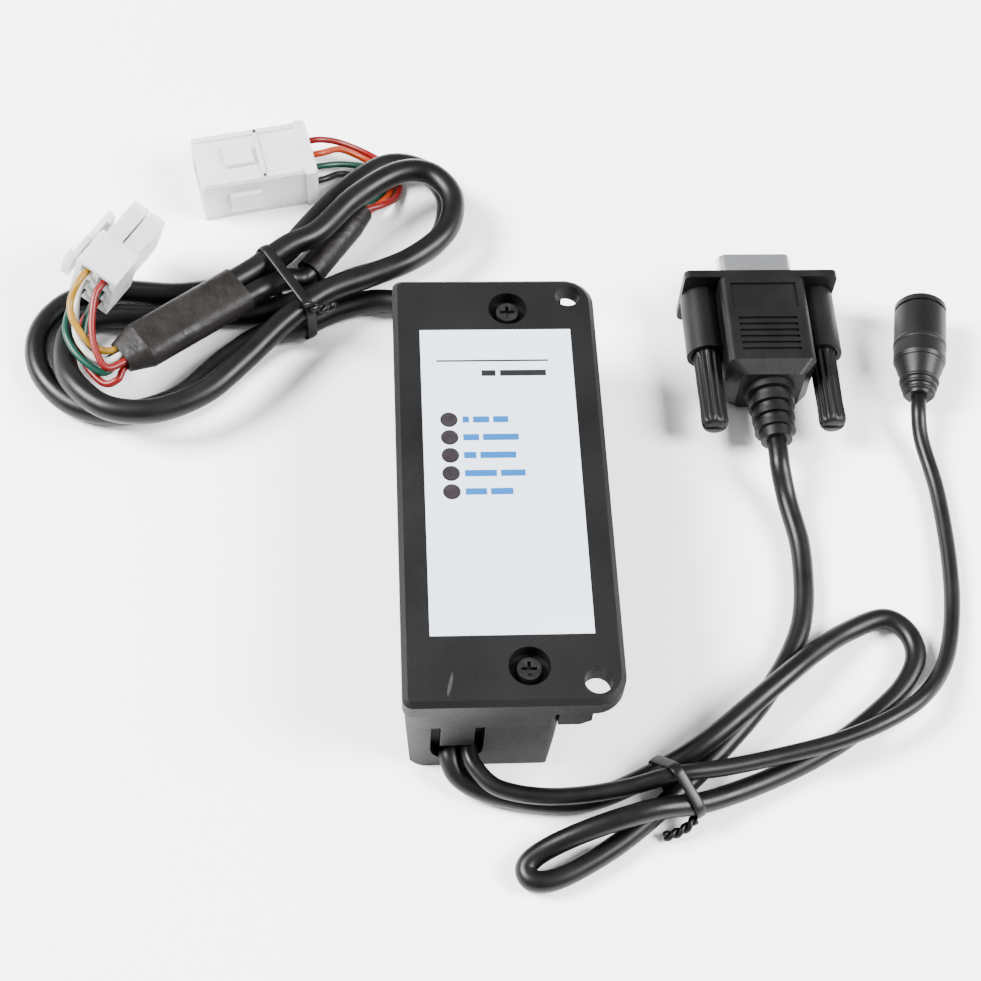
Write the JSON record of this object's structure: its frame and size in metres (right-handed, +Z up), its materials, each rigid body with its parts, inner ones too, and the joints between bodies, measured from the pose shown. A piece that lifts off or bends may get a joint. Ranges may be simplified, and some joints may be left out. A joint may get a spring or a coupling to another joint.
{
  "type": "bill validator interface box",
  "caption": "Black plastic interface box for a bill or coin validator, with a screwed lid, mounting ear, status windows, and cords to a D-shell plug, a power jack and white housings.",
  "frame": {"origin": "middle of the case's underside", "axes": "+X to the mounting ear's side, +Y to the rear end, where the trunk cable leaves, +Z up through the lid"},
  "size_m": [0.1995, 0.1803, 0.0279],
  "materials": {
    "lid_plastic": "fine textured black ABS",
    "base_plastic": "fine textured black ABS",
    "label_film": "satin off-white film with plain blue bars and numerals",
    "window_plastic": "dark translucent acrylic",
    "led_plastic": "clear tinted epoxy",
    "dark_steel": "black zinc",
    "bright_steel": "bright zinc",
    "brass": "plain",
    "board_laminate": "green solder mask",
    "chip_plastic": "moulded epoxy",
    "opto_plastic": "moulded epoxy",
    "can_sleeve": "printed sleeve",
    "nylon": "natural translucent nylon",
    "lead_plastic": "PVC insulation",
    "gland_rubber": "matt",
    "hood_plastic": "moulded PVC, satin",
    "screw_plastic": "moulded, knurled",
    "tin": "tin plated, satin",
    "contact_metal": "plated",
    "nickel": "nickel plated",
    "sleeve_plastic": "matt heat-shrink",
    "cord_jacket": "satin PVC",
    "yellow_wire": "PVC insulation",
    "white_wire": "PVC insulation",
    "green_wire": "PVC insulation",
    "red_wire": "PVC insulation",
    "orange_wire": "PVC insulation",
    "black_wire": "PVC insulation"
  },
  "bodies": {
    "case": {"lid": "lid_plastic", "base_shell": "base_plastic", "label": "label_film", "window_1": "window_plastic", "window_2": "window_plastic", "window_3": "window_plastic", "window_4": "window_plastic", "window_5": "window_plastic", "status_leds": "led_plastic", "lid_screws": "dark_steel", "brass_inserts": "brass", "board_screws": "bright_steel", "circuit_board": "board_laminate", "controller_chip": "chip_plastic", "serial_driver": "chip_plastic", "optocouplers": "opto_plastic", "voltage_regulator": "chip_plastic", "capacitors": "can_sleeve", "crystal": "bright_steel", "front_header": "nylon", "rear_header": "nylon", "inner_leads": "lead_plastic", "front_gland": "gland_rubber", "rear_gland": "gland_rubber", "db9_hood": "hood_plastic", "serial_strain_relief": "hood_plastic", "db9_shell": "tin", "db9_insulator": "chip_plastic", "db9_contacts": "contact_metal", "jack_body": "hood_plastic", "jack_barrel": "nickel", "jack_insulator": "chip_plastic", "jack_pin": "nickel", "receptacle_housing": "nylon", "receptacle_terminals": "contact_metal", "plug_housing": "nylon", "plug_terminals": "contact_metal", "splice_sleeve": "sleeve_plastic", "link_sleeve": "sleeve_plastic", "trunk_cable": "cord_jacket", "link_cable": "cord_jacket", "serial_cable": "cord_jacket", "power_cable": "cord_jacket", "yellow_wire": "yellow_wire", "white_wire": "white_wire", "green_wire_a": "green_wire", "green_wire_b": "green_wire", "red_wire_a": "red_wire", "red_wire_b": "red_wire", "plug_red_wire": "red_wire", "plug_orange_wire": "orange_wire", "plug_green_wire": "green_wire", "plug_black_wire": "black_wire", "rear_tie": "cord_jacket", "front_tie": "cord_jacket"},
    "left_clip": {"left_ring": "bright_steel"},
    "left_screw": {"left_thumbscrew": "screw_plastic"},
    "right_clip": {"right_ring": "bright_steel"},
    "right_screw": {"right_thumbscrew": "screw_plastic"},
    "latch": {"receptacle_latch": "nylon"}
  },
  "joints": [
    {"name": "left_screw_slide", "type": "slide", "parent": "case", "child": "left_clip", "axis": [0, 1, 0], "range_m": [0, 0.0035]},
    {"name": "left_screw_turn", "type": "hinge", "parent": "left_clip", "child": "left_screw", "pos_m": [0.0468, 0.0495, 0.00765], "axis": [0, 1, 0], "continuous": true},
    {"name": "right_screw_slide", "type": "slide", "parent": "case", "child": "right_clip", "axis": [0, 1, 0], "range_m": [0, 0.0035]},
    {"name": "right_screw_turn", "type": "hinge", "parent": "right_clip", "child": "right_screw", "pos_m": [0.0718, 0.0495, 0.00765], "axis": [0, 1, 0], "continuous": true},
    {"name": "latch_press", "type": "hinge", "parent": "case", "child": "latch", "pos_m": [-0.08386, 0.06668, 0.01584], "axis": [0.2621, -0.1638, 0.9511], "range_deg": [0, 6], "stiffness_Nm_per_rad": 0.01}
  ]
}
